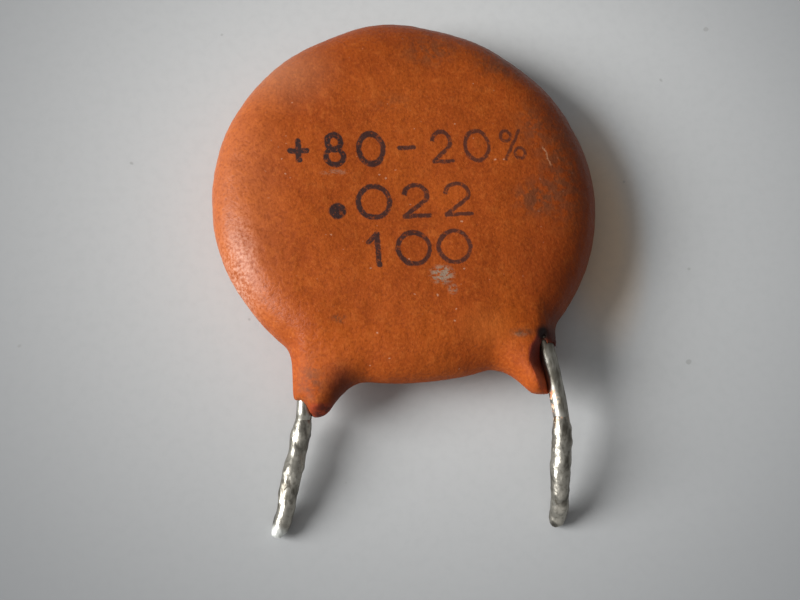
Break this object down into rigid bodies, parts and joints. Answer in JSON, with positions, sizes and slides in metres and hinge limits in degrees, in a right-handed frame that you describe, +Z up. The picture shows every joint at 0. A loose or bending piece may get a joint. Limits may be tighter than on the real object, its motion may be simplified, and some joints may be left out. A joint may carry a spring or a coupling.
{
  "type": "ceramic disc capacitor",
  "caption": "Round ceramic disc capacitor in an orange dip coating, with bent tinned leads that leave broken coated legs.",
  "frame": {"origin": "middle of the footprint, at the height of the table that the part lies on", "axes": "+Z up, +Y from the lead ends across the disc to its far rim, +X towards the front lead; the printed front face looks up and is tilted 3 degrees"},
  "size_m": [0.0191, 0.0261, 0.0039],
  "materials": {
    "coating": "matte, finely granular orange dip coating",
    "ceramic": "fired tan ceramic",
    "silver": "thin fired silver",
    "solder": "dull lumpy solder",
    "tinned_wire": "dull tinned copper wire"
  },
  "bodies": {
    "root": {"dip_coating": "coating", "ceramic_disc": "ceramic", "front_electrode": "silver", "back_electrode": "silver", "front_solder_joint": "solder", "back_solder_joint": "solder", "front_lead": "tinned_wire", "back_lead": "tinned_wire", "front_lead_solder": "solder", "back_lead_solder": "solder"}
  },
  "joints": []
}
